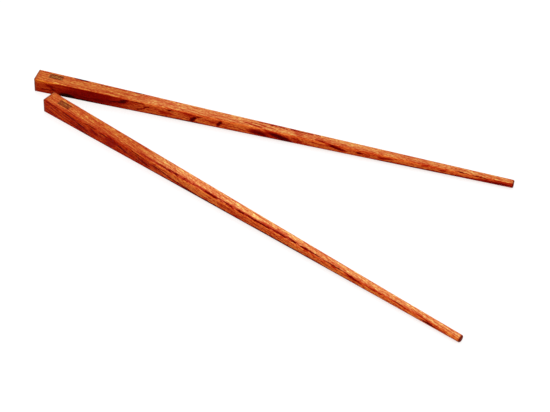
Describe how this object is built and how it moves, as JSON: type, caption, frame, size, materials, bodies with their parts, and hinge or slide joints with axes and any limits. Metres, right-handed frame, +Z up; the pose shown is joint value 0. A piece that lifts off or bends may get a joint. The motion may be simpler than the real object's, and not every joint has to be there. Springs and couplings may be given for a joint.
{
  "type": "pair of wooden chopsticks",
  "caption": "Pair of plain hardwood chopsticks laid with their tips apart, each square at the head and tapering to a round tip.",
  "frame": {"origin": "under the middle of the pair, on the surface that the two sticks lie on", "axes": "+Z up; +X from the square heads to the round tips, along the line midway between the two sticks; +Y towards the far stick"},
  "size_m": [0.2502, 0.107, 0.0079],
  "materials": {
    "far_wood": "oiled reddish orange hardwood, planed and lightly sanded, low sheen",
    "near_wood": "oiled reddish orange hardwood, planed and lightly sanded, low sheen"
  },
  "bodies": {
    "root": {"far_chopstick": "far_wood", "near_chopstick": "near_wood"}
  },
  "joints": []
}
